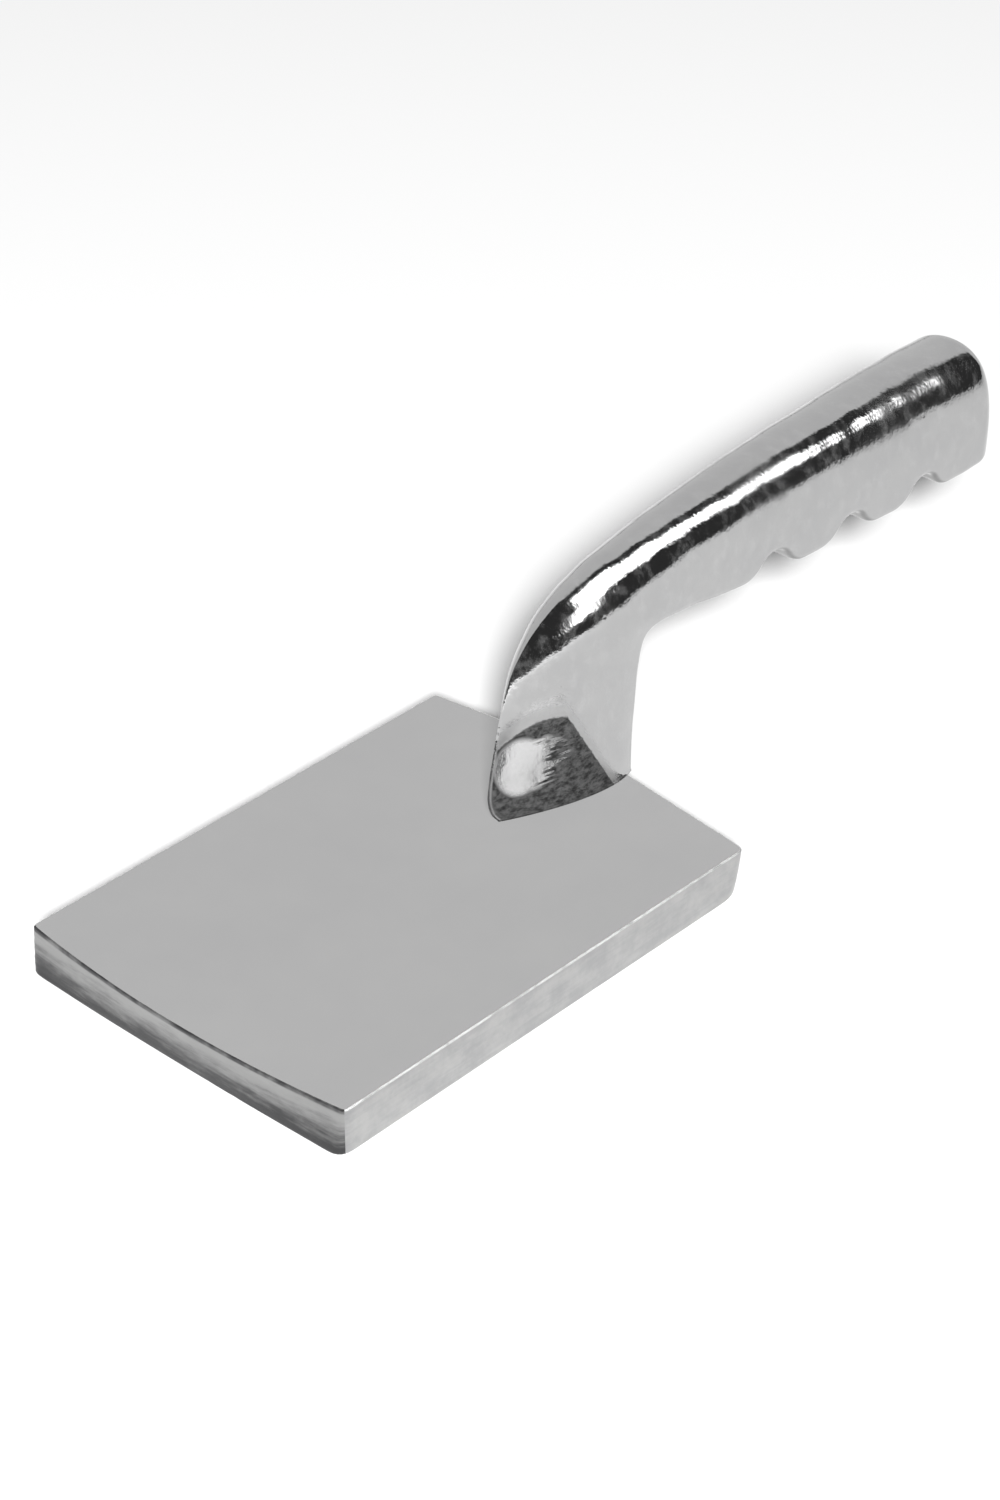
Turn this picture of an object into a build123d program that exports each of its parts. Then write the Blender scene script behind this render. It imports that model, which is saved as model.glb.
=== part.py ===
"""Flat plate hand pounder: a thick working plate with a cranked cast grip screwed on top.

Frame: origin at the middle of the plate's flat underside, +Z up, +Y towards the butt of the grip,
+X to the right of someone holding the tool.  Millimetres and degrees.
"""
from build123d import *
from math import acos, cos, sin
import os

# ---- working plate ---------------------------------------------------------------------------
PLATE_WIDTH = 96.6
PLATE_SIDE_FRONT_Y = -64.7
PLATE_SIDE_REAR_Y = 64.4
PLATE_FRONT_CROWN = 3.4
PLATE_REAR_POINT = 6.2
PLATE_THICKNESS = 12.0
PLATE_REAR_RIGHT_RADIUS = 2.2
PLATE_REAR_LEFT_RADIUS = 1.5
PLATE_FRONT_RIGHT_RADIUS = 0.8
PLATE_FRONT_LEFT_RADIUS = 1.5
PLATE_EDGE_BREAK = 0.4

# ---- handle casting, section by section from the foot to the butt --------------------------------
# Each section lies between a point on the rear or lower side and a point on the ridge or crown, both
# given as (y, z) on the middle plane.  Then come its half width and its roundness: 0 is the lancet
# of the foot, 1 is the domed grip.
HANDLE_SECTIONS = (
    ((71.6, 12.0), (34.5, 12.0), 10.0, 0.00),
    ((71.9, 15.0), (32.1, 15.0), 9.8, 0.00),
    ((72.3, 19.0), (30.8, 19.0), 9.5, 0.05),
    ((72.9, 24.5), (31.2, 24.5), 9.1, 0.14),
    ((73.6, 30.5), (32.4, 30.5), 8.9, 0.26),
    ((74.2, 37.0), (33.9, 37.0), 8.9, 0.40),
    ((74.8, 42.7), (35.9, 44.0), 9.1, 0.53),
    ((75.3, 45.6), (39.2, 51.0), 9.4, 0.62),
    ((76.1, 47.4), (44.8, 57.3), 9.7, 0.69),
    ((77.9, 48.4), (53.0, 62.2), 9.9, 0.76),
    ((80.9, 48.6), (64.0, 66.0), 10.0, 0.82),
    ((85.3, 48.3), (77.5, 68.6), 10.1, 0.89),
    ((92.2, 47.5), (90.5, 70.2), 10.2, 0.95),
    ((98.5, 46.6), (98.5, 71.0), 10.5, 0.98),
    ((107.0, 45.7), (107.0, 71.7), 11.0, 1.00),
    ((117.0, 44.9), (117.0, 72.4), 11.5, 1.00),
    ((130.0, 44.3), (130.0, 73.2), 12.1, 1.00),
    ((148.0, 43.8), (148.0, 74.1), 12.8, 1.00),
    ((169.0, 43.3), (169.0, 74.7), 13.5, 1.00),
    ((187.0, 43.0), (187.0, 74.8), 13.9, 1.00),
    ((197.0, 43.1), (197.0, 74.3), 13.9, 1.00),
    ((202.0, 43.8), (202.0, 73.0), 13.2, 1.00),
    ((204.3, 47.0), (204.3, 70.0), 10.4, 1.00),
)
FOOT_EDGE_RADIUS = 0.8
GRIP_EDGE_RADIUS = 3.5
# The flank of a section is one curve from its base past a shoulder and a crown to the ridge.  These
# place them for the lancet and for the dome, as shares of the half width and of the section's height.
LANCET_BASE = 0.82
LANCET_SHOULDER = (1.25, 0.28)
LANCET_CROWN = (0.42, 0.80)
DOME_BASE = 0.93
DOME_SHOULDER = (1.14, 0.68)
DOME_CROWN = (0.80, 1.00)

# ---- finger grooves, cut across the underside of the grip ---------------------------------------
GROOVE_COUNT = 3
GROOVE_FIRST_Y = 119.5
GROOVE_PITCH = 27.5
GROOVE_DEPTH = 6.0
GROOVE_RADIUS = 6.5
GROOVE_RIM_RADIUS = 6.0
GRIP_UNDERSIDE_Z = 43.8
GROOVE_CUTTER_HALF_WIDTH = 20.0

# ---- countersunk fixing screws, from the plate's underside up into the foot ---------------------
SCREW_Y = (52.0, 64.0)
SCREW_DIAMETER = 5.0
SCREW_HEAD_DIAMETER = 10.0
SCREW_LENGTH_IN_FOOT = 14.0
SCREW_HOLE_EXTRA_DEPTH = 2.0
SCREW_HEAD_RECESS = 0.4
SCREW_HEX_ACROSS_FLATS = 3.0
SCREW_HEX_DEPTH = 2.4
PLATE_HOLE_CLEARANCE = 0.5
HOLE_OVERRUN = 1.0


def blend(start, end, share):
    """Value that lies the given share of the way from start to end."""
    return start + (end - start) * share


def plate_outline():
    """Outline of the plate: straight sides, a crowned front edge and a shallow point at the rear."""
    half = PLATE_WIDTH / 2
    front_right = (half, PLATE_SIDE_FRONT_Y)
    front_middle = (0, PLATE_SIDE_FRONT_Y - PLATE_FRONT_CROWN)
    front_left = (-half, PLATE_SIDE_FRONT_Y)
    rear_right = (half, PLATE_SIDE_REAR_Y)
    rear_point = (0, PLATE_SIDE_REAR_Y + PLATE_REAR_POINT)
    rear_left = (-half, PLATE_SIDE_REAR_Y)
    edges = Curve() + [
        ThreePointArc(front_left, front_middle, front_right),
        Line(front_right, rear_right),
        Line(rear_right, rear_point),
        Line(rear_point, rear_left),
        Line(rear_left, front_left),
    ]
    return make_face(edges)


def screw_profile(radius_clearance, head_clearance, top_z):
    """Half section of a countersunk screw, or of the hole it sits in, to be turned about its axis."""
    shank = SCREW_DIAMETER / 2 + radius_clearance
    head = SCREW_HEAD_DIAMETER / 2 + head_clearance
    bottom_z = SCREW_HEAD_RECESS
    cone_top_z = bottom_z + head - shank
    return Polyline((0, 0, bottom_z), (head, 0, bottom_z), (shank, 0, cone_top_z), (shank, 0, top_z),
                    (0, 0, top_z), close=True)


def turned(profile, y):
    """Solid of revolution of a half section about the upright line through (0, y)."""
    solid = revolve(make_face(profile), Axis.Z)
    return Pos(0, y, 0) * solid


def screw_hole_in_plate(y):
    """Clearance hole and countersink, open at both faces of the plate."""
    bore = turned(screw_profile(PLATE_HOLE_CLEARANCE / 2, 0.0, PLATE_THICKNESS + HOLE_OVERRUN), y)
    mouth_radius = SCREW_HEAD_DIAMETER / 2
    mouth = Pos(0, y, SCREW_HEAD_RECESS / 2) * Cylinder(mouth_radius, SCREW_HEAD_RECESS)
    return bore + mouth


def make_plate():
    """The thick flat plate that strikes the work."""
    plate = extrude(plate_outline(), PLATE_THICKNESS)
    half = PLATE_WIDTH / 2
    corner_radii = {
        (half, PLATE_SIDE_REAR_Y): PLATE_REAR_RIGHT_RADIUS,
        (-half, PLATE_SIDE_REAR_Y): PLATE_REAR_LEFT_RADIUS,
        (half, PLATE_SIDE_FRONT_Y): PLATE_FRONT_RIGHT_RADIUS,
        (-half, PLATE_SIDE_FRONT_Y): PLATE_FRONT_LEFT_RADIUS,
    }
    for (x, y), radius in corner_radii.items():
        corner = plate.edges().filter_by(Axis.Z).sort_by_distance((x, y, PLATE_THICKNESS / 2))[0]
        plate = fillet(corner, radius)
    rims = plate.faces().sort_by(Axis.Z)[0].edges() + plate.faces().sort_by(Axis.Z)[-1].edges()
    plate = chamfer(rims, PLATE_EDGE_BREAK)
    for y in SCREW_Y:
        plate -= screw_hole_in_plate(y)
    return plate


def section_wire(inner, outer, half_width, roundness):
    """One closed section of the handle, in the plane through inner and outer that is square to X."""
    height = Vector(outer[0] - inner[0], outer[1] - inner[1], 0).length
    step_y = (outer[0] - inner[0]) / height
    step_z = (outer[1] - inner[1]) / height

    def place(across, up):
        return (across, inner[0] + up * step_y, inner[1] + up * step_z)

    edge_radius = blend(FOOT_EDGE_RADIUS, GRIP_EDGE_RADIUS, roundness)
    base = half_width * blend(LANCET_BASE, DOME_BASE, roundness)
    late = roundness**2
    shoulder = (half_width * blend(LANCET_SHOULDER[0], DOME_SHOULDER[0], late),
                height * blend(LANCET_SHOULDER[1], DOME_SHOULDER[1], late))
    crown = (half_width * blend(LANCET_CROWN[0], DOME_CROWN[0], late),
             height * blend(LANCET_CROWN[1], DOME_CROWN[1], roundness))

    def side(sign):
        corner = Bezier(place(sign * (base - edge_radius), 0), place(sign * base, 0),
                        place(sign * base, edge_radius))
        flank = Bezier(place(sign * base, edge_radius), place(sign * shoulder[0], shoulder[1]),
                       place(sign * crown[0], crown[1]), place(0, height))
        return corner, flank

    right_corner, right_flank = side(1)
    left_corner, left_flank = side(-1)
    bottom = Line(place(-base + edge_radius, 0), place(base - edge_radius, 0))
    return Wire([bottom, right_corner, right_flank, left_flank, left_corner])


def finger_groove(y):
    """Cutter for one finger groove: a hollow with rounded rims, right across the grip."""
    floor_z = GRIP_UNDERSIDE_Z
    reach = GROOVE_RADIUS + GROOVE_RIM_RADIUS
    angle = acos(1 - GROOVE_DEPTH / reach)
    half_length = reach * sin(angle)
    turn_y = GROOVE_RADIUS * sin(angle)
    turn_z = floor_z + GROOVE_RIM_RADIUS * (1 - cos(angle))
    rim_y = half_length - GROOVE_RIM_RADIUS * sin(angle / 2)
    rim_z = floor_z + GROOVE_RIM_RADIUS * (1 - cos(angle / 2))
    half_width = GROOVE_CUTTER_HALF_WIDTH

    def point(offset, z):
        return (-half_width, y + offset, z)

    outline = Curve() + [
        ThreePointArc(point(-half_length, floor_z), point(-rim_y, rim_z), point(-turn_y, turn_z)),
        ThreePointArc(point(-turn_y, turn_z), point(0, floor_z + GROOVE_DEPTH), point(turn_y, turn_z)),
        ThreePointArc(point(turn_y, turn_z), point(rim_y, rim_z), point(half_length, floor_z)),
        Polyline(point(half_length, floor_z), point(half_length, floor_z - reach),
                 point(-half_length, floor_z - reach), point(-half_length, floor_z)),
    ]
    return extrude(make_face(outline), 2 * half_width, dir=(1, 0, 0))


def make_handle():
    """The one-piece casting: lancet foot, upright neck and the grip with its finger grooves."""
    handle = Solid.make_loft([section_wire(*section) for section in HANDLE_SECTIONS])
    for index in range(GROOVE_COUNT):
        handle -= finger_groove(GROOVE_FIRST_Y + index * GROOVE_PITCH)
    depth = SCREW_LENGTH_IN_FOOT + SCREW_HOLE_EXTRA_DEPTH
    for y in SCREW_Y:
        handle -= Pos(0, y, PLATE_THICKNESS + depth / 2) * Cylinder(SCREW_DIAMETER / 2, depth)
    return handle


def make_screw(y):
    """Countersunk machine screw with a hexagon socket, head down in the plate."""
    screw = turned(screw_profile(0.0, 0.0, PLATE_THICKNESS + SCREW_LENGTH_IN_FOOT), y)
    socket = extrude(RegularPolygon(SCREW_HEX_ACROSS_FLATS / 2, 6, major_radius=False), SCREW_HEX_DEPTH)
    return screw - Pos(0, y, SCREW_HEAD_RECESS) * socket


def main():
    os.makedirs("parts", exist_ok=True)
    export_step(make_plate(), "parts/working_plate.step")
    export_step(make_handle(), "parts/handle_casting.step")
    export_step(make_screw(SCREW_Y[0]), "parts/front_screw.step")
    export_step(make_screw(SCREW_Y[1]), "parts/rear_screw.step")


main()
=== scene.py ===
import math

import bmesh
import bpy
import numpy as np
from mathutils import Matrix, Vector, noise


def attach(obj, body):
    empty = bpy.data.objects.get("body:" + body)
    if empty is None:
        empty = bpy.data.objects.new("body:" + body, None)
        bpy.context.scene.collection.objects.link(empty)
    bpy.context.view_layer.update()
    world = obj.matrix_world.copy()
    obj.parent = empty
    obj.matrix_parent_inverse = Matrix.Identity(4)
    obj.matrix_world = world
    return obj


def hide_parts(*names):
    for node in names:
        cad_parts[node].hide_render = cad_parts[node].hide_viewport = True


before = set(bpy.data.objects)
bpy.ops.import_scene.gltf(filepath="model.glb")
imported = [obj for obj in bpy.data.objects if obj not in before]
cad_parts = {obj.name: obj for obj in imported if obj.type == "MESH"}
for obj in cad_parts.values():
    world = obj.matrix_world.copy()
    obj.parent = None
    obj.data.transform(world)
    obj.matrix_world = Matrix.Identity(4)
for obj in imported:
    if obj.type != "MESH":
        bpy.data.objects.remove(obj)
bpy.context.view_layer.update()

MM = 0.001

# ---- camera --------------------------------------------------------------------------------------
CAMERA_PLACE = (0.48657, -0.49359, 0.50283)
CAMERA_AZIMUTH = 42.63
CAMERA_ELEVATION = 33.27
CAMERA_LENS = 91.18

# ---- handle casting: the CAD part's sections up to the butt, in millimetres ------------------------
# (rear or lower point), (ridge or crown point), half width, roundness: 0 is a lancet, 1 is domed
HANDLE_SECTIONS = (
    ((71.6, 12.0), (34.5, 12.0), 10.0, 0.00),
    ((71.9, 15.0), (32.1, 15.0), 9.8, 0.00),
    ((72.3, 19.0), (30.8, 19.0), 9.5, 0.05),
    ((72.9, 24.5), (31.2, 24.5), 9.1, 0.14),
    ((73.6, 30.5), (32.4, 30.5), 8.9, 0.26),
    ((74.2, 37.0), (33.9, 37.0), 8.9, 0.40),
    ((74.8, 42.7), (35.9, 44.0), 9.1, 0.53),
    ((75.3, 45.6), (39.2, 51.0), 9.4, 0.62),
    ((76.1, 47.4), (44.8, 57.3), 9.7, 0.69),
    ((77.9, 48.4), (53.0, 62.2), 9.9, 0.76),
    ((80.9, 48.6), (64.0, 66.0), 10.0, 0.82),
    ((85.3, 48.3), (77.5, 68.6), 10.1, 0.89),
    ((92.2, 47.5), (90.5, 70.2), 10.2, 0.95),
    ((98.5, 46.6), (98.5, 71.0), 10.5, 0.98),
    ((107.0, 45.7), (107.0, 71.7), 11.0, 1.00),
    ((117.0, 44.9), (117.0, 72.4), 11.5, 1.00),
    ((130.0, 44.3), (130.0, 73.2), 12.1, 1.00),
    ((148.0, 43.8), (148.0, 74.1), 12.8, 1.00),
    ((169.0, 43.3), (169.0, 74.7), 13.5, 1.00),
    ((187.0, 43.0), (187.0, 74.8), 13.9, 1.00),
    ((197.0, 43.1), (197.0, 74.3), 13.9, 1.00),
)
# the flank curve from the lower edge to the crown, as shares of half width (across) and height (up)
LANCET_BASE = 0.82
LANCET_SHOULDER = (1.25, 0.28)
LANCET_CROWN = (0.42, 0.80)
DOME_BASE = 0.93
DOME_SHOULDER = (1.14, 0.68)
DOME_CROWN = (0.80, 1.0)
FOOT_EDGE_RADIUS = 0.8
GRIP_EDGE_RADIUS = 2.6

BUTT_Y = 204.2
BUTT_EDGE_DEPTH = 7.2
BUTT_ROUND_SHARE = 0.86
BUTT_CAP_SHARES = (0.8, 0.6, 0.4, 0.2, 0.08)
BUTT_RINGS = 22
RING_STEP = 0.8
BOTTOM_POINTS = 10
CORNER_POINTS = 9
FLANK_POINTS = 54
FLANK_SAMPLES = 400

GROOVE_COUNT = 3
GROOVE_FIRST_Y = 119.5
GROOVE_PITCH = 27.5
GROOVE_DEPTH = 6.0
GROOVE_RADIUS = 6.5
GROOVE_RIM_RADIUS = 6.0

# polishing wave: two noises, as waves per millimetre (x, y, z), and a level above which nothing dips
WIDE_WAVE = (0.05, 0.075, 0.05)
FINE_WAVE = (0.10, 0.16, 0.10)
FINE_WAVE_SHIFT = (7, 0, 3)
FINE_WAVE_SHARE = 0.6
POLISH_WAVE = 0.20
POLISH_CREST = 0.75

# ---- plate: the CAD part's outline, with its own worn corners, in millimetres ----------------------
PLATE_WIDTH = 96.6
PLATE_SIDE_FRONT_Y = -64.7
PLATE_SIDE_REAR_Y = 64.4
PLATE_FRONT_CROWN = 3.4
PLATE_REAR_POINT = 6.2
PLATE_THICKNESS = 12.0
# how far each corner is cut back (at the bottom, at the top), in the order
# front left, front right, rear right, tip, rear left
PLATE_CORNER_CUTS = ((3.6, 1.3), (3.6, 1.2), (7.5, 1.9), (6.0, 6.0), (2.0, 1.2))
PLATE_CORNER_CUT_POWER = 0.6
PLATE_CORNER_POINTS = 9
PLATE_FRONT_POINTS = 97
PLATE_FRONT_TRIM = 4
PLATE_SIDE_POINTS = 129
PLATE_REAR_POINTS = 49
PLATE_SIDE_MARGIN = 8.5
PLATE_TOP_ROUND = 0.35
PLATE_LOW_ROUND = 0.8
PLATE_ROUND_STEPS = 4
PLATE_SIDE_RINGS = 14
PLATE_FLAT_INSET = 2.4
PLATE_FLAT_MARGIN = 0.4
PLATE_SIDE_TOP_MARGIN = 0.3
PLATE_FRONT_LEAN = 1.2
PLATE_FRONT_FLARE = 2.8
# rings of the profile that lie on the underside, and from the end of the top round inwards
PLATE_FIRST_SIDE_RING = 2
PLATE_TOP_FLAT_RINGS = 3
# points of the outline that belong to the front face: from the middle of one corner to the next
FRONT_FIRST_POINT = PLATE_CORNER_POINTS // 2
FRONT_LAST_POINT = FRONT_FIRST_POINT + PLATE_CORNER_POINTS + PLATE_FRONT_POINTS - 2 * PLATE_FRONT_TRIM

# wear on the plate's sides, in millimetres: saw lines, and nicks where their noise passes a threshold
WEAR_LINE_SCALE = (0.05, 0.05, 1.9)
WEAR_LINE_BASE = 0.05
WEAR_LINE_DEPTH = 0.09
WEAR_NICK_SCALE = 0.33
WEAR_NICK_SHIFT = 5
WEAR_NICK_DEPTH = 0.12
WEAR_NICK_START = 0.25
WEAR_SIDE_SHARE = 0.4

SCREW_PLACES = (52.0, 64.0)
# (radius, height) down the countersunk clearance hole, from the underside to the top
HOLE_PROFILE = ((5.0, 0.0), (5.0, 0.4), (2.75, 2.65), (2.75, 12.0))
HOLE_POINTS = 32

# ---- plate materials: their order on the mesh, and values for their shaders -------------------------
FACE_SLOT, SIDE_SLOT, FRONT_SLOT, EDGE_SLOT = range(4)
PLATE_FACE_METAL = 0.75
# heights in metres between which the painted dark reflection line under the front's top edge sets in
FRONT_PAINTED_REFLECTION_LINE = (0.0107, 0.0113)

# ---- painted reflection on the foot, a dark patch with a bare gap for the highlight, as (y, z) places and sizes in metres ---
PAINTED_REFLECTION_CREST = (0.0450, 0.0374)
PAINTED_REFLECTION_BOW = 37.0
PAINTED_REFLECTION_REAR = (0.0520, 0.0338)
PAINTED_REFLECTION_REAR_SLOPE = 1.77
PAINTED_REFLECTION_RAGGED = 0.0022
HIGHLIGHT_GAP = (0.0387, 0.0262)
HIGHLIGHT_GAP_SIZE = (0.0056, 0.0070)
HIGHLIGHT_GAP_STREAK = 1.1
BRUSHED_REACH = 0.0075
BRUSHED_ROUGHNESS = 0.34

# ---- studio: the boxes are directions in degrees (low azimuth, high azimuth, low and high elevation)
FLOOR_SIZE = 12.0
FLOOR_GREY = 0.80
ROOM_FILL = 0.06
ROOM_DARK = 0.05
ROOM_WALL = 0.875
SOFT_BOX = (6.0, 54.5, 38.0, 75.0)
SOFT_BOX_SKIRT = (-2.0, 13.0, 23.0, 42.0)
SOFT_BOX_WING = (43.0, 47.5, 31.0, 42.0)
SOFT_BOX_MARGIN = 4.0
SOFT_BOX_RADIANCE = 4.5
WALL_TOWARDS = (-0.98, 0.2)
WALL_START = (0.10, 0.16)
HORIZON_FADE = 0.04
KEY_TURN = 1.0
KEY_RADIANCE = 410.0
KEY_SIZE = 0.70
KEY_DISTANCE = 5.0
LIGHT_TARGET = (0, 0.07, 0.03)


# ---- small node helpers ----------------------------------------------------------------------------
class Shader:
    """A node tree being wired, with short calls for the nodes used here."""

    def __init__(self, tree):
        self.tree = tree
        self.tree.nodes.clear()

    def node(self, kind, **settings):
        made = self.tree.nodes.new(kind)
        for key, value in settings.items():
            setattr(made, key, value)
        return made

    def link(self, source, target):
        self.tree.links.new(source, target)

    def put(self, socket, value):
        if isinstance(value, bpy.types.NodeSocket):
            self.link(value, socket)
        else:
            socket.default_value = value

    def math(self, operation, first, second=0.0, clamp=False):
        made = self.node("ShaderNodeMath", operation=operation, use_clamp=clamp)
        self.put(made.inputs[0], first)
        self.put(made.inputs[1], second)
        return made.outputs[0]

    def ramp(self, value, low, high, out_low=0.0, out_high=1.0):
        made = self.node("ShaderNodeMapRange", interpolation_type="SMOOTHSTEP")
        self.put(made.inputs["Value"], value)
        made.inputs["From Min"].default_value = low
        made.inputs["From Max"].default_value = high
        made.inputs["To Min"].default_value = out_low
        made.inputs["To Max"].default_value = out_high
        return made.outputs["Result"]

    def noise(self, vector, scale, detail=3.0, roughness=0.5):
        made = self.node("ShaderNodeTexNoise")
        self.link(vector, made.inputs["Vector"])
        made.inputs["Scale"].default_value = scale
        made.inputs["Detail"].default_value = detail
        made.inputs["Roughness"].default_value = roughness
        return made.outputs["Fac"]

    def stretched(self, vector, scale, rotation=(0, 0, 0)):
        made = self.node("ShaderNodeMapping")
        self.link(vector, made.inputs["Vector"])
        made.inputs["Scale"].default_value = scale
        made.inputs["Rotation"].default_value = rotation
        return made.outputs["Vector"]

    def bump(self, height, strength, distance, normal=None):
        made = self.node("ShaderNodeBump")
        self.link(height, made.inputs["Height"])
        made.inputs["Strength"].default_value = strength
        made.inputs["Distance"].default_value = distance
        if normal is not None:
            self.link(normal, made.inputs["Normal"])
        return made.outputs["Normal"]


def new_material(name):
    material = bpy.data.materials.new(name)
    material.use_nodes = True
    shader = Shader(material.node_tree)
    output = shader.node("ShaderNodeOutputMaterial")
    surface = shader.node("ShaderNodeBsdfPrincipled")
    shader.link(surface.outputs[0], output.inputs["Surface"])
    place = shader.node("ShaderNodeTexCoord").outputs["Object"]
    return material, shader, surface, place


# ---- materials -------------------------------------------------------------------------------------
def foot_painted_reflection(shader, place, ragged, streaks):
    """Dark painted reflection low on the right flank, open round a bare metal spot near the toe that shows
    its highlight.

    Gives the painted reflection, and the brushed metal that it lies on and that shows just above it, each 0
    to 1.
    """
    x, y, z = place
    wobble = shader.math("MULTIPLY", shader.math("SUBTRACT", ragged, 0.5), PAINTED_REFLECTION_RAGGED)
    from_crest = shader.math("SUBTRACT", y, PAINTED_REFLECTION_CREST[0])
    bow = shader.math("MULTIPLY", shader.math("MULTIPLY", from_crest, from_crest), PAINTED_REFLECTION_BOW)
    top = shader.math("SUBTRACT", PAINTED_REFLECTION_CREST[1], bow)
    slope = shader.math("MULTIPLY", shader.math("SUBTRACT", y, PAINTED_REFLECTION_REAR[0]), PAINTED_REFLECTION_REAR_SLOPE)
    rear = shader.math("SUBTRACT", PAINTED_REFLECTION_REAR[1], slope)
    limit = shader.math("ADD", shader.math("MINIMUM", top, rear), wobble)
    inside = shader.ramp(shader.math("SUBTRACT", limit, z), 0.0, 0.0007)
    across = shader.math("MULTIPLY", shader.math("SUBTRACT", y, HIGHLIGHT_GAP[0]), 1 / HIGHLIGHT_GAP_SIZE[0])
    comb = shader.math("MULTIPLY", shader.ramp(streaks, 0.42, 0.58), shader.ramp(across, 0.2, 0.9))
    stretch = shader.math("ADD", shader.math("MULTIPLY", comb, HIGHLIGHT_GAP_STREAK), 1.0)
    across = shader.math("DIVIDE", across, stretch)
    up = shader.math("MULTIPLY", shader.math("SUBTRACT", z, HIGHLIGHT_GAP[1]), 1 / HIGHLIGHT_GAP_SIZE[1])
    reach = shader.math("ADD", shader.math("MULTIPLY", across, across), shader.math("MULTIPLY", up, up))
    reach = shader.math("ADD", reach, shader.math("MULTIPLY", wobble, 260))
    outside_highlight_gap = shader.ramp(reach, 0.75, 1.35)
    right_side = shader.ramp(x, 0.0, 0.0005)
    painted_reflection = shader.math("MULTIPLY", shader.math("MULTIPLY", inside, outside_highlight_gap), right_side)
    painted_reflection = shader.math("MULTIPLY", painted_reflection, shader.ramp(ragged, 0.25, 0.65, 1.0, 0.92))
    brushed = shader.ramp(shader.math("SUBTRACT", limit, z), -BRUSHED_REACH, -0.15 * BRUSHED_REACH)
    brushed = shader.math("MULTIPLY", brushed, outside_highlight_gap)
    return painted_reflection, shader.math("MULTIPLY", brushed, right_side)


def polished_casting():
    """Hand polished aluminium: hazy patches, buffing scratches across the grip and small casting pits."""
    material, shader, surface, place = new_material("polished_casting")
    haze = shader.noise(place, 110, 5, 0.62)
    bloom = shader.noise(shader.stretched(place, (210, 300, 210), (0.3, 0, 0.1)), 1.0, 6, 0.68)
    metal = shader.ramp(bloom, 0.47, 0.68, 1.0, 0.92)
    tone = shader.node("ShaderNodeMix", data_type="RGBA")
    shader.link(shader.ramp(haze, 0.3, 0.7), tone.inputs["Factor"])
    tone.inputs[6].default_value = (0.432, 0.432, 0.434, 1)
    tone.inputs[7].default_value = (0.455, 0.455, 0.455, 1)
    split = shader.node("ShaderNodeSeparateXYZ")
    shader.link(place, split.inputs[0])
    foot_streaks = shader.noise(shader.stretched(place, (300, 45, 620)), 1.0, 3, 0.6)
    ragged = shader.noise(shader.stretched(place, (650, 380, 650)), 1.0, 6, 0.75)
    # painted reflection: a dark, less metallic patch low on the foot's flank, with a bare spot left for the
    # highlight
    painted_reflection, brushed = foot_painted_reflection(shader, split.outputs, ragged, foot_streaks)
    bright_metal = shader.ramp(painted_reflection, 0.0, 1.0, 1.0, 0.2)
    shader.put(surface.inputs["Metallic"], shader.math("MULTIPLY", metal, bright_metal))
    shader.put(surface.inputs["Specular IOR Level"], shader.ramp(painted_reflection, 0.0, 1.0, 0.5, 0.08))
    # base colour goes near black where the painted reflection on the foot or the painted shade underneath
    # lies
    painted_shade_and_reflection = shader.node("ShaderNodeMix", data_type="RGBA")
    facing = shader.node("ShaderNodeSeparateXYZ")
    shader.link(shader.node("ShaderNodeTexCoord").outputs["Normal"], facing.inputs[0])
    # painted shade: surfaces facing down, under the grip and in its grooves, darkened
    painted_underside_shade = shader.ramp(facing.outputs[2], -0.75, -0.35, 0.75, 0.0)
    shader.link(shader.math("MAXIMUM", painted_reflection, painted_underside_shade), painted_shade_and_reflection.inputs["Factor"])
    shader.link(tone.outputs[2], painted_shade_and_reflection.inputs[6])
    shader.link(shader.ramp(ragged, 0.36, 0.68, 0.004, 0.045), painted_shade_and_reflection.inputs[7])
    shader.link(painted_shade_and_reflection.outputs[2], surface.inputs["Base Color"])
    scratches = shader.noise(shader.stretched(place, (160, 1500, 160), (0.1, 0, 0.2)), 1.0, 3, 0.6)
    patches = shader.noise(place, 38, 2, 0.5)
    rough = shader.ramp(patches, 0.42, 0.66, 0.05, 0.17)
    rough = shader.math("ADD", rough, shader.ramp(haze, 0.4, 0.7, 0.0, 0.05))
    brushed_rough = shader.math("MULTIPLY", brushed, BRUSHED_ROUGHNESS)
    shader.put(surface.inputs["Roughness"], shader.math("MAXIMUM", rough, brushed_rough))
    pits = shader.node("ShaderNodeTexVoronoi")
    shader.link(place, pits.inputs["Vector"])
    pits.inputs["Scale"].default_value = 170
    pit_depth = shader.ramp(pits.outputs["Distance"], 0.03, 0.13)
    fine = shader.bump(scratches, 0.36, 0.00006)
    waves = shader.bump(haze, 0.42, 0.0005, fine)
    shader.link(shader.bump(pit_depth, 0.20, 0.00010, waves), surface.inputs["Normal"])
    return material


def plate_face():
    """Satin face: very fine brushing along the plate, in the roughness, and a faint cloudy tone."""
    material, shader, surface, place = new_material("plate_face")
    surface.inputs["Metallic"].default_value = PLATE_FACE_METAL
    cloud = shader.noise(place, 45, 4, 0.6)
    brushed = shader.noise(shader.stretched(place, (2600, 70, 400)), 1.0, 2)
    tone = shader.node("ShaderNodeMix", data_type="RGBA")
    shader.link(cloud, tone.inputs["Factor"])
    tone.inputs[6].default_value = (0.408, 0.408, 0.411, 1)
    tone.inputs[7].default_value = (0.452, 0.451, 0.449, 1)
    shader.link(tone.outputs[2], surface.inputs["Base Color"])
    shader.put(surface.inputs["Roughness"], shader.ramp(brushed, 0.25, 0.75, 0.13, 0.19))
    return material


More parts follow.
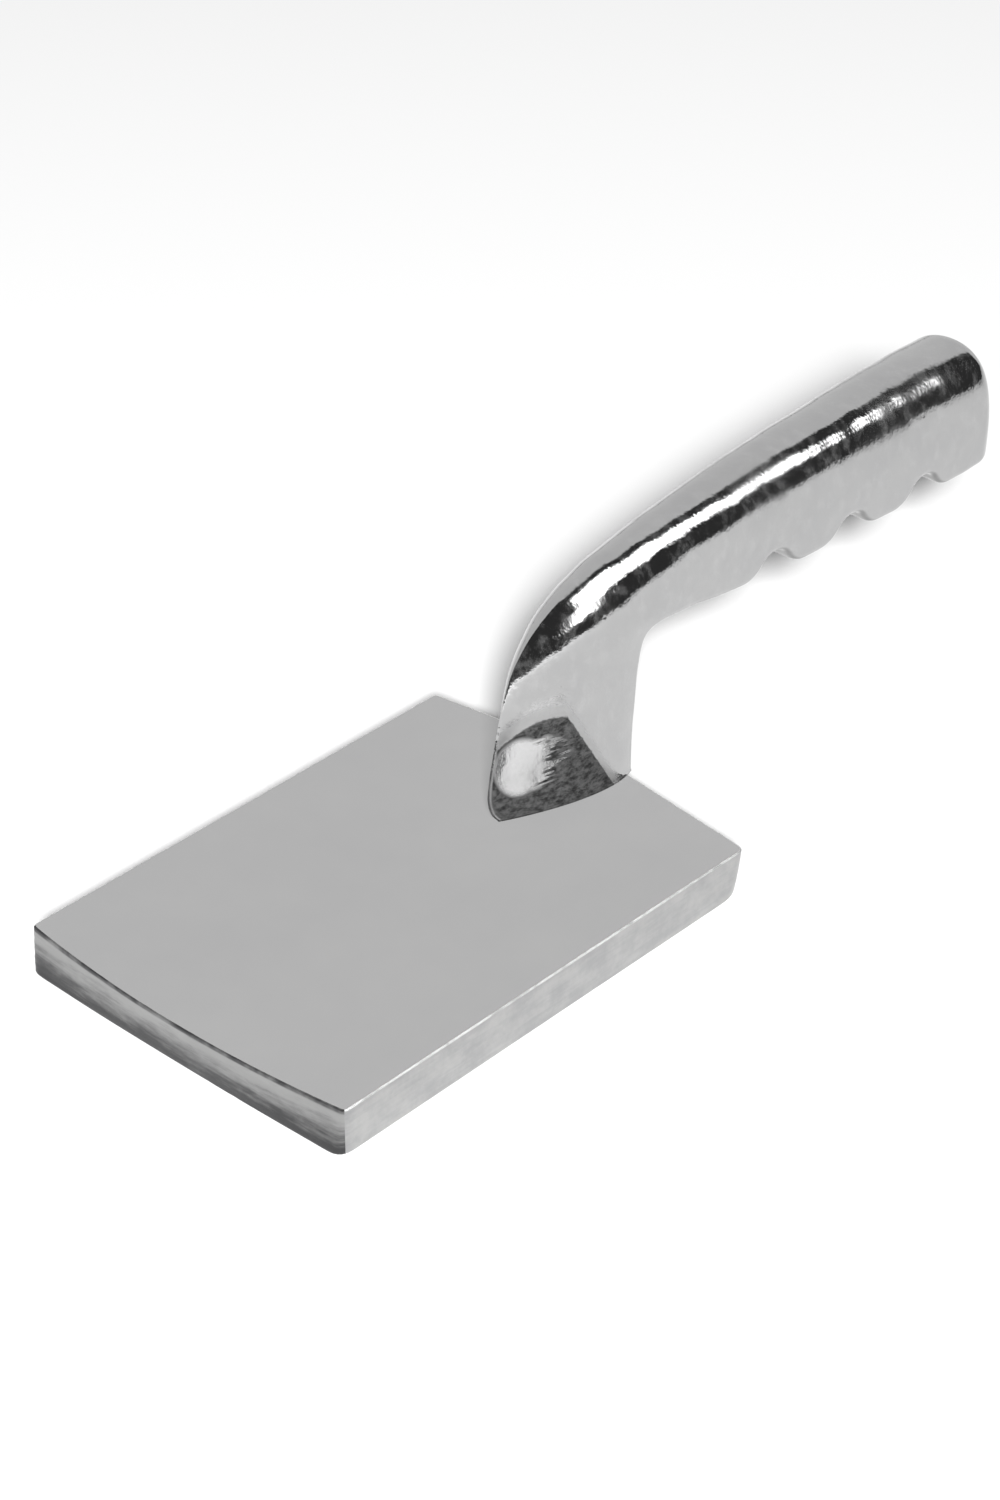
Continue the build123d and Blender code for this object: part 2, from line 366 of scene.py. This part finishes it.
def plate_side():
    """Milled side: dull mottling and short scuffs along the edge."""
    material, shader, surface, place = new_material("plate_side")
    surface.inputs["Metallic"].default_value = 1.0
    mottle = shader.noise(place, 160, 5, 0.65)
    scuffs = shader.noise(shader.stretched(place, (300, 60, 900)), 1.0, 3, 0.6)
    mixed = shader.math("ADD", shader.math("MULTIPLY", mottle, 0.6), shader.math("MULTIPLY", scuffs, 0.4))
    tone = shader.node("ShaderNodeMix", data_type="RGBA")
    shader.link(shader.ramp(mixed, 0.35, 0.65), tone.inputs["Factor"])
    tone.inputs[6].default_value = (0.37, 0.37, 0.375, 1)
    tone.inputs[7].default_value = (0.475, 0.475, 0.47, 1)
    shader.link(tone.outputs[2], surface.inputs["Base Color"])
    shader.put(surface.inputs["Roughness"], shader.ramp(scuffs, 0.3, 0.7, 0.28, 0.42))
    shader.link(shader.bump(scuffs, 0.25, 0.00008), surface.inputs["Normal"])
    return material


def plate_arris_painted_highlight():
    """Arris along the top of the sides, bright: a painted highlight, lighter base colour than the sides in
    mottled patches.
    """
    material, shader, surface, place = new_material("plate_arris_painted_highlight")
    surface.inputs["Metallic"].default_value = 1.0
    highlight_mottle = shader.noise(place, 210, 4, 0.6)
    tone = shader.node("ShaderNodeMix", data_type="RGBA")
    shader.link(shader.ramp(highlight_mottle, 0.35, 0.6), tone.inputs["Factor"])
    # painted highlight: a lighter base colour than the sides
    tone.inputs[6].default_value = (0.55, 0.55, 0.55, 1)
    tone.inputs[7].default_value = (0.82, 0.82, 0.82, 1)
    shader.link(tone.outputs[2], surface.inputs["Base Color"])
    shader.put(surface.inputs["Roughness"], shader.ramp(highlight_mottle, 0.3, 0.7, 0.38, 0.5))
    return material


def plate_front():
    """Sawn front, streaks along it: painted shade, darkest low down by the floor, and a broken dark line near
    the top painted as a reflection.
    """
    material, shader, surface, place = new_material("plate_front")
    surface.inputs["Metallic"].default_value = 1.0
    streaks = shader.noise(shader.stretched(place, (70, 70, 620)), 1.0, 5, 0.62)
    mottle = shader.noise(shader.stretched(place, (150, 150, 330)), 1.0, 4, 0.6)
    split = shader.node("ShaderNodeSeparateXYZ")
    shader.link(place, split.inputs[0])
    # painted shade: the base colour darkens towards the bottom, near the floor
    low = shader.ramp(split.outputs[2], 0.0, PLATE_THICKNESS * MM, 0.0, 0.5)
    streaked = shader.math("MULTIPLY", streaks, 0.65)
    mottled = shader.math("MULTIPLY", mottle, 0.35)
    value = shader.math("ADD", shader.math("ADD", streaked, mottled), low)
    tone = shader.node("ShaderNodeMix", data_type="RGBA")
    # painted dark reflection: a broken line just under the top edge
    painted_reflection_line = shader.ramp(split.outputs[2], *FRONT_PAINTED_REFLECTION_LINE)
    broken = shader.ramp(shader.noise(place, 90, 3, 0.6), 0.38, 0.55, 0.45, 1.0)
    shade = shader.math("SUBTRACT", 1.0, shader.math("MULTIPLY", painted_reflection_line, broken))
    shader.link(shader.math("MULTIPLY", shader.ramp(value, 0.50, 1.0), shade), tone.inputs["Factor"])
    tone.inputs[6].default_value = (0.075, 0.075, 0.077, 1)
    tone.inputs[7].default_value = (0.38, 0.38, 0.378, 1)
    shader.link(tone.outputs[2], surface.inputs["Base Color"])
    shader.put(surface.inputs["Roughness"], shader.ramp(streaks, 0.3, 0.7, 0.34, 0.5))
    shader.link(shader.bump(streaks, 0.5, 0.00012), surface.inputs["Normal"])
    return material


def screw_steel():
    """Plain steel with faint turning marks."""
    material, shader, surface, place = new_material("screw_steel")
    surface.inputs["Base Color"].default_value = (0.45, 0.45, 0.46, 1)
    surface.inputs["Metallic"].default_value = 1.0
    turned = shader.noise(shader.stretched(place, (900, 900, 90)), 1.0, 2)
    shader.put(surface.inputs["Roughness"], shader.ramp(turned, 0.3, 0.7, 0.25, 0.42))
    return material


# ---- handle mesh -----------------------------------------------------------------------------------
def blend(start, end, share):
    return start + (end - start) * share


def smooth_through(stops, values, wanted):
    """Cubic Hermite curve through the values at the stops, with slopes from the neighbours."""
    stops = np.asarray(stops, float)
    values = np.asarray(values, float)
    slopes = np.gradient(values, stops, axis=0)
    index = np.clip(np.searchsorted(stops, wanted, side="right") - 1, 0, len(stops) - 2)
    width = stops[index + 1] - stops[index]
    t = ((wanted - stops[index]) / width)[:, None]
    width = width[:, None]
    a = 2 * t**3 - 3 * t**2 + 1
    b = t**3 - 2 * t**2 + t
    c = -2 * t**3 + 3 * t**2
    d = t**3 - t**2
    start = a * values[index] + b * width * slopes[index]
    return start + c * values[index + 1] + d * width * slopes[index + 1]


def handle_stations():
    """Rows of rear y, rear z, crown y, crown z, half width, roundness, closely spaced along the handle."""
    rows = np.array([[*inner, *outer, half, rounding] for inner, outer, half, rounding in HANDLE_SECTIONS])
    middle = (rows[:, 0:2] + rows[:, 2:4]) / 2
    middle_steps = np.linalg.norm(np.diff(middle, axis=0), axis=1)
    crown_steps = np.linalg.norm(np.diff(rows[:, 2:4], axis=0), axis=1)
    steps = middle_steps + crown_steps
    stops = np.concatenate([[0], np.cumsum(steps / 2)])
    count = int(stops[-1] / RING_STEP)
    wanted = np.linspace(0, stops[-1], count)
    return smooth_through(stops, rows, wanted)


def groove_lift(y):
    """How far the underside of the grip is hollowed at y by the finger grooves."""
    reach = GROOVE_RADIUS + GROOVE_RIM_RADIUS
    angle = math.acos(1 - GROOVE_DEPTH / reach)
    half_length = reach * math.sin(angle)
    turn = GROOVE_RADIUS * math.sin(angle)
    for index in range(GROOVE_COUNT):
        offset = abs(y - GROOVE_FIRST_Y - index * GROOVE_PITCH)
        if offset < turn:
            return GROOVE_DEPTH - GROOVE_RADIUS + math.sqrt(GROOVE_RADIUS**2 - offset**2)
        if offset < half_length:
            return GROOVE_RIM_RADIUS - math.sqrt(GROOVE_RIM_RADIUS**2 - (half_length - offset) ** 2)
    return 0.0


def flank_curve(half_width, rounding, height):
    """Half width against height up the section, as sampled points of one cubic Bezier."""
    base = half_width * blend(LANCET_BASE, DOME_BASE, rounding)
    late = rounding**2
    x_points = (base,
                half_width * blend(LANCET_SHOULDER[0], DOME_SHOULDER[0], late),
                half_width * blend(LANCET_CROWN[0], DOME_CROWN[0], late),
                0.0)
    v_points = (0.0,
                height * blend(LANCET_SHOULDER[1], DOME_SHOULDER[1], late),
                height * blend(LANCET_CROWN[1], DOME_CROWN[1], rounding),
                height)
    t = np.linspace(0, 1, FLANK_SAMPLES)
    weights = ((1 - t) ** 3, 3 * t * (1 - t) ** 2, 3 * t**2 * (1 - t), t**3)
    x = sum(w * p for w, p in zip(weights, x_points))
    v = sum(w * p for w, p in zip(weights, v_points))
    return x, v


def even_points(x, v, count):
    """The same curve with its points evenly spaced along its length."""
    run = np.concatenate([[0], np.cumsum(np.hypot(np.diff(x), np.diff(v)))])
    wanted = np.linspace(0, run[-1], count)
    return np.interp(wanted, run, x), np.interp(wanted, run, v)


def ring_outline(half_width, rounding, height, floor):
    """Right half of one section, from the middle of its flat side round to its crown."""
    x, v = flank_curve(half_width, rounding, height)
    radius = blend(FOOT_EDGE_RADIUS, GRIP_EDGE_RADIUS, rounding)
    start = floor + radius
    x_start = float(np.interp(start, v, x))
    keep = v > start
    flank_x = np.concatenate([[x_start], x[keep]])
    flank_v = np.concatenate([[start], v[keep]])
    flank_x, flank_v = even_points(flank_x, flank_v, FLANK_POINTS)
    turn = np.linspace(-90, 0, CORNER_POINTS + 1)[:-1]
    corner_x = x_start - radius + radius * np.cos(np.radians(turn))
    corner_v = start + radius * np.sin(np.radians(turn))
    bottom_x = np.linspace(0, x_start - radius, BOTTOM_POINTS, endpoint=False)
    bottom_v = np.full(BOTTOM_POINTS, floor)
    return np.concatenate([bottom_x, corner_x, flank_x]), np.concatenate([bottom_v, corner_v, flank_v])


def full_ring(inner, outer, half_width, rounding, floor=0.0):
    """Closed ring of 3-D points, right side up to the crown and then down the left side."""
    inner = np.asarray(inner)
    outer = np.asarray(outer)
    height = float(np.linalg.norm(outer - inner))
    step = (outer - inner) / height
    x, v = ring_outline(half_width, rounding, height, floor)
    x = np.concatenate([x, -x[-2:0:-1]])
    v = np.concatenate([v, v[-2:0:-1]])
    return np.stack([x, inner[0] + v * step[0], inner[1] + v * step[1]], axis=1)


def handle_rings():
    """All rings from the foot to the butt, with the butt rounded over to a shallow dome."""
    rings = []
    for rear_y, rear_z, crown_y, crown_z, half_width, rounding in handle_stations():
        lift = groove_lift(crown_y) if crown_y > GROOVE_FIRST_Y - GROOVE_PITCH / 2 else 0.0
        rings.append(full_ring((rear_y, rear_z), (crown_y, crown_z), half_width, rounding, lift))
    last = rings[-1]
    middle = last.mean(axis=0)
    middle[1] = last[0, 1]
    start_y = float(last[0, 1])
    reach = BUTT_Y - start_y
    for index in range(1, BUTT_RINGS):
        angle = math.radians(90 * index / BUTT_RINGS)
        inset = BUTT_EDGE_DEPTH * (1 - math.cos(angle))
        ring = last.copy()
        radial = ring - middle
        length = np.linalg.norm(radial, axis=1, keepdims=True)
        ring = middle + radial * (1 - inset / length)
        ring[:, 1] = start_y + reach * BUTT_ROUND_SHARE * math.sin(angle)
        rings.append(ring)
    rim = rings[-1]
    rim_y = float(rim[0, 1])
    for share in BUTT_CAP_SHARES:
        ring = middle + (rim - middle) * share
        ring[:, 1] = rim_y + (BUTT_Y - rim_y) * (1 - share**2)
        rings.append(ring)
    return rings


def polish_wave(points, normals):
    """Shallow dips that hand polishing leaves. The normals given here point into the metal, so a dip
    goes along them, and no point moves outwards."""
    moved = np.empty_like(points)
    for index, (point, normal) in enumerate(zip(points, normals)):
        wide = noise.noise(Vector([p * scale for p, scale in zip(point, WIDE_WAVE)]))
        fine_place = [p * scale + shift for p, scale, shift in zip(point, FINE_WAVE, FINE_WAVE_SHIFT)]
        fine = noise.noise(Vector(fine_place))
        dip = min(0.0, wide + FINE_WAVE_SHARE * fine - POLISH_CREST)
        moved[index] = point - normal * dip * POLISH_WAVE
    return moved


def mesh_piece(name, vertices, faces, material):
    """One smooth-shaded object with one material, linked to the scene."""
    mesh = bpy.data.meshes.new(name)
    mesh.from_pydata([tuple(v) for v in vertices], [], faces)
    mesh.validate()
    mesh.shade_smooth()
    mesh.materials.append(material)
    piece = bpy.data.objects.new(name, mesh)
    bpy.context.scene.collection.objects.link(piece)
    return piece


def make_handle(material):
    """The polished casting as one closed mesh. Its faces wind the wrong way round: their normals point in."""
    rings = handle_rings()
    around = len(rings[0])
    vertices = np.concatenate(rings)
    foot_centre = len(vertices)
    butt_centre = foot_centre + 1
    end_middle = rings[-1].mean(axis=0)
    end_middle[1] = BUTT_Y
    start_middle = rings[0].mean(axis=0)
    vertices = np.concatenate([vertices, [start_middle, end_middle]])
    faces = []
    for ring in range(len(rings) - 1):
        low = ring * around
        for index in range(around):
            following = (index + 1) % around
            faces.append((low + index, low + following, low + around + following, low + around + index))
    top = (len(rings) - 1) * around
    for index in range(around):
        following = (index + 1) % around
        faces.append((foot_centre, following, index))
        faces.append((butt_centre, top + index, top + following))
    piece = mesh_piece("handle_casting_polished", vertices * MM, faces, material)
    mesh = piece.data
    normals = np.empty(len(mesh.vertices) * 3)
    mesh.vertices.foreach_get("normal", normals)
    moved = polish_wave(vertices, normals.reshape(-1, 3))
    moved[: around] = vertices[: around]
    moved[foot_centre] = vertices[foot_centre]
    mesh.vertices.foreach_set("co", (moved * MM).ravel())
    mesh.update()
    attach(piece, "root")
    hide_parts("handle_casting")
    piece.visible_glossy = False
    return piece


# ---- plate mesh ------------------------------------------------------------------------------------
def cut_corner(before, corner, after, cut):
    """Points of a rounded corner: a quadratic curve that meets both sides at the cut distance."""
    before, corner, after = (np.asarray(p, float) for p in (before, corner, after))
    start = corner + (before - corner) / np.linalg.norm(before - corner) * cut
    end = corner + (after - corner) / np.linalg.norm(after - corner) * cut
    t = np.linspace(0, 1, PLATE_CORNER_POINTS)[:, None]
    return (1 - t) ** 2 * start + 2 * t * (1 - t) * corner + t**2 * end


def front_edge(half, front_y):
    """Points of the crowned front edge, from its left end to its right end."""
    radius = (half**2 + PLATE_FRONT_CROWN**2) / (2 * PLATE_FRONT_CROWN)
    x = np.linspace(-half, half, PLATE_FRONT_POINTS)
    return np.stack([x, front_y - PLATE_FRONT_CROWN + radius - np.sqrt(radius**2 - x**2)], axis=1)


def plate_outline(height, inset):
    """Outline at a height share (0 bottom, 1 top), anticlockwise from the front left corner."""
    half = PLATE_WIDTH / 2 - inset
    front = front_edge(half, PLATE_SIDE_FRONT_Y + inset)
    rear_right = (half, PLATE_SIDE_REAR_Y - inset)
    rear_left = (-half, PLATE_SIDE_REAR_Y - inset)
    rear_tip = (0, PLATE_SIDE_REAR_Y + PLATE_REAR_POINT - inset)
    cuts = [blend(low, high, height**PLATE_CORNER_CUT_POWER) for low, high in PLATE_CORNER_CUTS]
    left_front = front[0]
    right_front = front[-1]
    trim = PLATE_FRONT_TRIM
    pieces = [cut_corner(rear_left, left_front, front[2 * trim], cuts[0]),
              front[trim:-trim],
              cut_corner(front[-1 - 2 * trim], right_front, rear_right, cuts[1]),
              straight(right_front, rear_right, PLATE_SIDE_POINTS),
              cut_corner(right_front, rear_right, rear_tip, cuts[2]),
              straight(rear_right, rear_tip, PLATE_REAR_POINTS),
              cut_corner(rear_right, rear_tip, rear_left, cuts[3]),
              straight(rear_tip, rear_left, PLATE_REAR_POINTS),
              cut_corner(rear_tip, rear_left, left_front, cuts[4]),
              straight(rear_left, left_front, PLATE_SIDE_POINTS)]
    return np.concatenate(pieces)


def straight(start, end, count):
    """Evenly spaced points along one side, clear of the rounded corners at its ends."""
    start = np.asarray(start, float)
    end = np.asarray(end, float)
    length = np.linalg.norm(end - start)
    margin = PLATE_SIDE_MARGIN / length
    shares = np.linspace(margin, 1 - margin, count)[:, None]
    return start + (end - start) * shares


def outward(outline):
    """Unit vectors that point out of the outline at each of its points."""
    along = np.roll(outline, -1, axis=0) - np.roll(outline, 1, axis=0)
    along /= np.linalg.norm(along, axis=1, keepdims=True)
    return np.stack([along[:, 1], -along[:, 0]], axis=1)


def plate_profile():
    """(inset, height) rings from the flat underside up round the edges to the flat top."""
    angles = [math.radians(90 * step / PLATE_ROUND_STEPS) for step in range(PLATE_ROUND_STEPS + 1)]
    side_bottom = PLATE_LOW_ROUND + PLATE_FLAT_MARGIN
    side_top = PLATE_THICKNESS - PLATE_TOP_ROUND - PLATE_SIDE_TOP_MARGIN
    rings = [(PLATE_FLAT_INSET, 0.0), (PLATE_LOW_ROUND + PLATE_FLAT_MARGIN, 0.0)]
    for angle in angles:
        rings.append((PLATE_LOW_ROUND * (1 - math.sin(angle)), PLATE_LOW_ROUND * (1 - math.cos(angle))))
    for z in np.linspace(side_bottom, side_top, PLATE_SIDE_RINGS):
        rings.append((0.0, float(z)))
    for angle in angles:
        height = PLATE_THICKNESS - PLATE_TOP_ROUND * (1 - math.sin(angle))
        rings.append((PLATE_TOP_ROUND * (1 - math.cos(angle)), height))
    rings.append((PLATE_TOP_ROUND + PLATE_FLAT_MARGIN, PLATE_THICKNESS))
    rings.append((PLATE_FLAT_INSET, PLATE_THICKNESS))
    return rings


def edge_wear(x, y, z):
    """How far the sides are eaten in at a point: saw lines and small nicks, never outwards."""
    lines = noise.noise(Vector([p * scale for p, scale in zip((x, y, z), WEAR_LINE_SCALE)]))
    scale = WEAR_NICK_SCALE
    nicks = noise.noise(Vector((x * scale + WEAR_NICK_SHIFT, y * scale, z * scale)))
    front = 1.0 if y < PLATE_SIDE_FRONT_Y + 1 else WEAR_SIDE_SHARE
    sawn = front * (WEAR_LINE_BASE + WEAR_LINE_DEPTH * lines)
    return max(0.0, sawn + WEAR_NICK_DEPTH * max(0.0, nicks - WEAR_NICK_START))


def plate_ring(inset, z):
    """One ring of the plate. Low down, the front leans under in its middle and juts out at its ends."""
    outline = plate_outline(z / PLATE_THICKNESS, inset)
    away = outward(outline)
    share = 1 - z / PLATE_THICKNESS
    side = PLATE_WIDTH / 2 - inset
    points = np.empty((len(outline), 3))
    for index, ((x, y), (ax, ay)) in enumerate(zip(outline, away)):
        lean = PLATE_FRONT_LEAN - PLATE_FRONT_FLARE * (2 * x / PLATE_WIDTH) ** 2
        lean = lean * share * max(0.0, -ay) ** 2
        depth = lean + edge_wear(x, y, z)
        points[index] = (min(side, max(-side, x - ax * depth)), y - ay * depth, z)
    return points


def circle(radius, y, z):
    """Level ring of points round a screw hole's axis at y."""
    turn = np.linspace(0, 2 * math.pi, HOLE_POINTS, endpoint=False)
    return np.stack([radius * np.cos(turn), y + radius * np.sin(turn), np.full(HOLE_POINTS, z)], axis=1)


def make_plate(materials):
    """The plate as one closed mesh: its rim, two screw holes, and flat floors filled between them."""
    form = bmesh.new()
    rings = [[form.verts.new(p * MM) for p in plate_ring(*row)] for row in plate_profile()]
    around = len(rings[0])
    last_side = len(rings) - PLATE_TOP_FLAT_RINGS
    first_arris = last_side - PLATE_ROUND_STEPS
    for level, (low, high) in enumerate(zip(rings, rings[1:])):
        for index in range(around):
            following = (index + 1) % around
            face = form.faces.new((low[index], low[following], high[following], high[index]))
            face.smooth = True
            if PLATE_FIRST_SIDE_RING <= level < last_side:
                front = FRONT_FIRST_POINT <= index < FRONT_LAST_POINT
                side_slot = EDGE_SLOT if level >= first_arris else SIDE_SLOT
                face.material_index = FRONT_SLOT if front else side_slot
    floors = {0: [ring_edges(form, rings[0])], 1: [ring_edges(form, rings[-1])]}
    for screw_y in SCREW_PLACES:
        stack = [circle(radius, screw_y, z) for radius, z in HOLE_PROFILE]
        loops = [[form.verts.new(p * MM) for p in loop] for loop in stack]
        for low, high in zip(loops, loops[1:]):
            for index in range(HOLE_POINTS):
                following = (index + 1) % HOLE_POINTS
                form.faces.new((low[following], low[index], high[index], high[following])).smooth = True
        floors[0].append(ring_edges(form, loops[0]))
        floors[1].append(ring_edges(form, loops[-1]))
    for loops in floors.values():
        bmesh.ops.triangle_fill(form, edges=[edge for loop in loops for edge in loop], use_beauty=True)
    bmesh.ops.recalc_face_normals(form, faces=form.faces)
    mesh = bpy.data.meshes.new("working_plate_ground")
    form.to_mesh(mesh)
    form.free()
    for material in materials:
        mesh.materials.append(material)
    plate = bpy.data.objects.new("working_plate_ground", mesh)
    bpy.context.scene.collection.objects.link(plate)
    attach(plate, "root")
    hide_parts("working_plate")
    return plate


def ring_edges(form, ring):
    """Edges round a closed ring of vertices, made where they don't exist yet."""
    edges = []
    for first, second in zip(ring, ring[1:] + ring[:1]):
        edge = form.edges.get((first, second)) or form.edges.new((first, second))
        edges.append(edge)
    return edges


# ---- studio ----------------------------------------------------------------------------------------
def make_camera():
    """The photo's viewpoint, with no roll."""
    camera = bpy.data.objects.new("camera", bpy.data.cameras.new("camera"))
    camera.data.lens = CAMERA_LENS
    camera.data.clip_start = 0.02
    camera.location = CAMERA_PLACE
    camera.rotation_euler = (math.radians(90 - CAMERA_ELEVATION), 0, math.radians(CAMERA_AZIMUTH))
    bpy.context.scene.collection.objects.link(camera)
    bpy.context.scene.camera = camera


def make_floor():
    """Wide matt floor that reflects nothing sharply."""
    mesh = bpy.data.meshes.new("floor")
    half = FLOOR_SIZE / 2
    corners = [(-half, -half, 0), (half, -half, 0), (half, half, 0), (-half, half, 0)]
    mesh.from_pydata(corners, [], [(0, 1, 2, 3)])
    material, _, surface, _ = new_material("floor")
    surface.inputs["Base Color"].default_value = (FLOOR_GREY, FLOOR_GREY, FLOOR_GREY, 1)
    surface.inputs["Roughness"].default_value = 0.9
    surface.inputs["Specular IOR Level"].default_value = 0.0
    mesh.materials.append(material)
    floor = bpy.data.objects.new("floor", mesh)
    bpy.context.scene.collection.objects.link(floor)


def make_light(name, azimuth, elevation, distance, width, height, radiance):
    """Soft box at a bearing from the tool: azimuth from +X towards +Y, aimed at the tool's middle."""
    light = bpy.data.lights.new(name, "AREA")
    light.shape = "RECTANGLE"
    light.size = width
    light.size_y = height
    light.energy = radiance * width * height * math.pi
    lamp = bpy.data.objects.new(name, light)
    target = Vector(LIGHT_TARGET)
    a = math.radians(azimuth)
    e = math.radians(elevation)
    offset = Vector((math.cos(a) * math.cos(e), math.sin(a) * math.cos(e), math.sin(e)))
    lamp.location = target + offset * distance
    lamp.rotation_euler = (-offset).to_track_quat("-Z", "Y").to_euler()
    bpy.context.scene.collection.objects.link(lamp)
    return lamp


def direction_patch(shader, azimuth, elevation, low_az, high_az, low_el, high_el, soft):
    """1 inside a box of directions, in degrees, falling to 0 over the soft margin outside it."""
    sides = (shader.ramp(azimuth, low_az - soft, low_az),
             shader.ramp(azimuth, high_az, high_az + soft, 1.0, 0.0),
             shader.ramp(elevation, low_el - soft, low_el),
             shader.ramp(elevation, high_el, high_el + soft, 1.0, 0.0))
    level = sides[0]
    for side in sides[1:]:
        level = shader.math("MULTIPLY", level, side)
    return level


def make_world():
    """Even pale light for the floor; the metal sees a dark room, one light wall and a soft box."""
    world = bpy.data.worlds.new("studio")
    world.use_nodes = True
    world.cycles.sampling_method = "NONE"
    bpy.context.scene.world = world
    shader = Shader(world.node_tree)
    output = shader.node("ShaderNodeOutputWorld")
    direction = shader.node("ShaderNodeTexCoord").outputs["Generated"]
    parts = shader.node("ShaderNodeSeparateXYZ")
    shader.link(direction, parts.inputs[0])
    x, y, z = parts.outputs
    azimuth = shader.math("MULTIPLY", shader.math("ARCTAN2", y, x), 180 / math.pi)
    elevation = shader.math("MULTIPLY", shader.math("ARCSINE", z), 180 / math.pi)
    wall_x = shader.math("MULTIPLY", x, WALL_TOWARDS[0])
    wall_y = shader.math("MULTIPLY", y, WALL_TOWARDS[1])
    wall = shader.ramp(shader.math("ADD", wall_x, wall_y), *WALL_START)
    below = shader.ramp(z, 0.0, HORIZON_FADE, 1.0, 0.0)
    bright = shader.math("MAXIMUM", wall, below)
    level = shader.ramp(bright, 0.0, 1.0, ROOM_DARK, ROOM_WALL)
    boxes = [direction_patch(shader, azimuth, elevation, *box, SOFT_BOX_MARGIN)
             for box in (SOFT_BOX, SOFT_BOX_SKIRT, SOFT_BOX_WING)]
    box = shader.math("MAXIMUM", shader.math("MAXIMUM", boxes[0], boxes[1]), boxes[2])
    level = shader.math("ADD", level, shader.math("MULTIPLY", box, SOFT_BOX_RADIANCE))
    glossy_background = shader.node("ShaderNodeBackground")
    shader.link(level, glossy_background.inputs["Color"])
    plain_background = shader.node("ShaderNodeBackground")
    plain_background.inputs["Color"].default_value = (ROOM_FILL, ROOM_FILL, ROOM_FILL, 1)
    rays = shader.node("ShaderNodeLightPath")
    mix = shader.node("ShaderNodeMixShader")
    shader.link(rays.outputs["Is Glossy Ray"], mix.inputs[0])
    shader.link(plain_background.outputs[0], mix.inputs[1])
    shader.link(glossy_background.outputs[0], mix.inputs[2])
    shader.link(mix.outputs[0], output.inputs["Surface"])


def main():
    """The whole scene. Handle and screws are hidden from glossy rays, so the plate doesn't mirror them."""
    scene = bpy.context.scene
    scene.view_settings.view_transform = "Standard"
    make_camera()
    make_world()
    make_floor()
    key_azimuth = CAMERA_AZIMUTH - 90 + KEY_TURN
    key_elevation = CAMERA_ELEVATION - KEY_TURN
    key = make_light("key", key_azimuth, key_elevation, KEY_DISTANCE, KEY_SIZE, KEY_SIZE, KEY_RADIANCE)
    key.visible_glossy = False
    make_handle(polished_casting())
    make_plate((plate_face(), plate_side(), plate_front(), plate_arris_painted_highlight()))
    steel = screw_steel()
    for node in ("front_screw", "rear_screw"):
        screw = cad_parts[node]
        screw.visible_glossy = False
        screw.data.materials.clear()
        screw.data.materials.append(steel)


main()
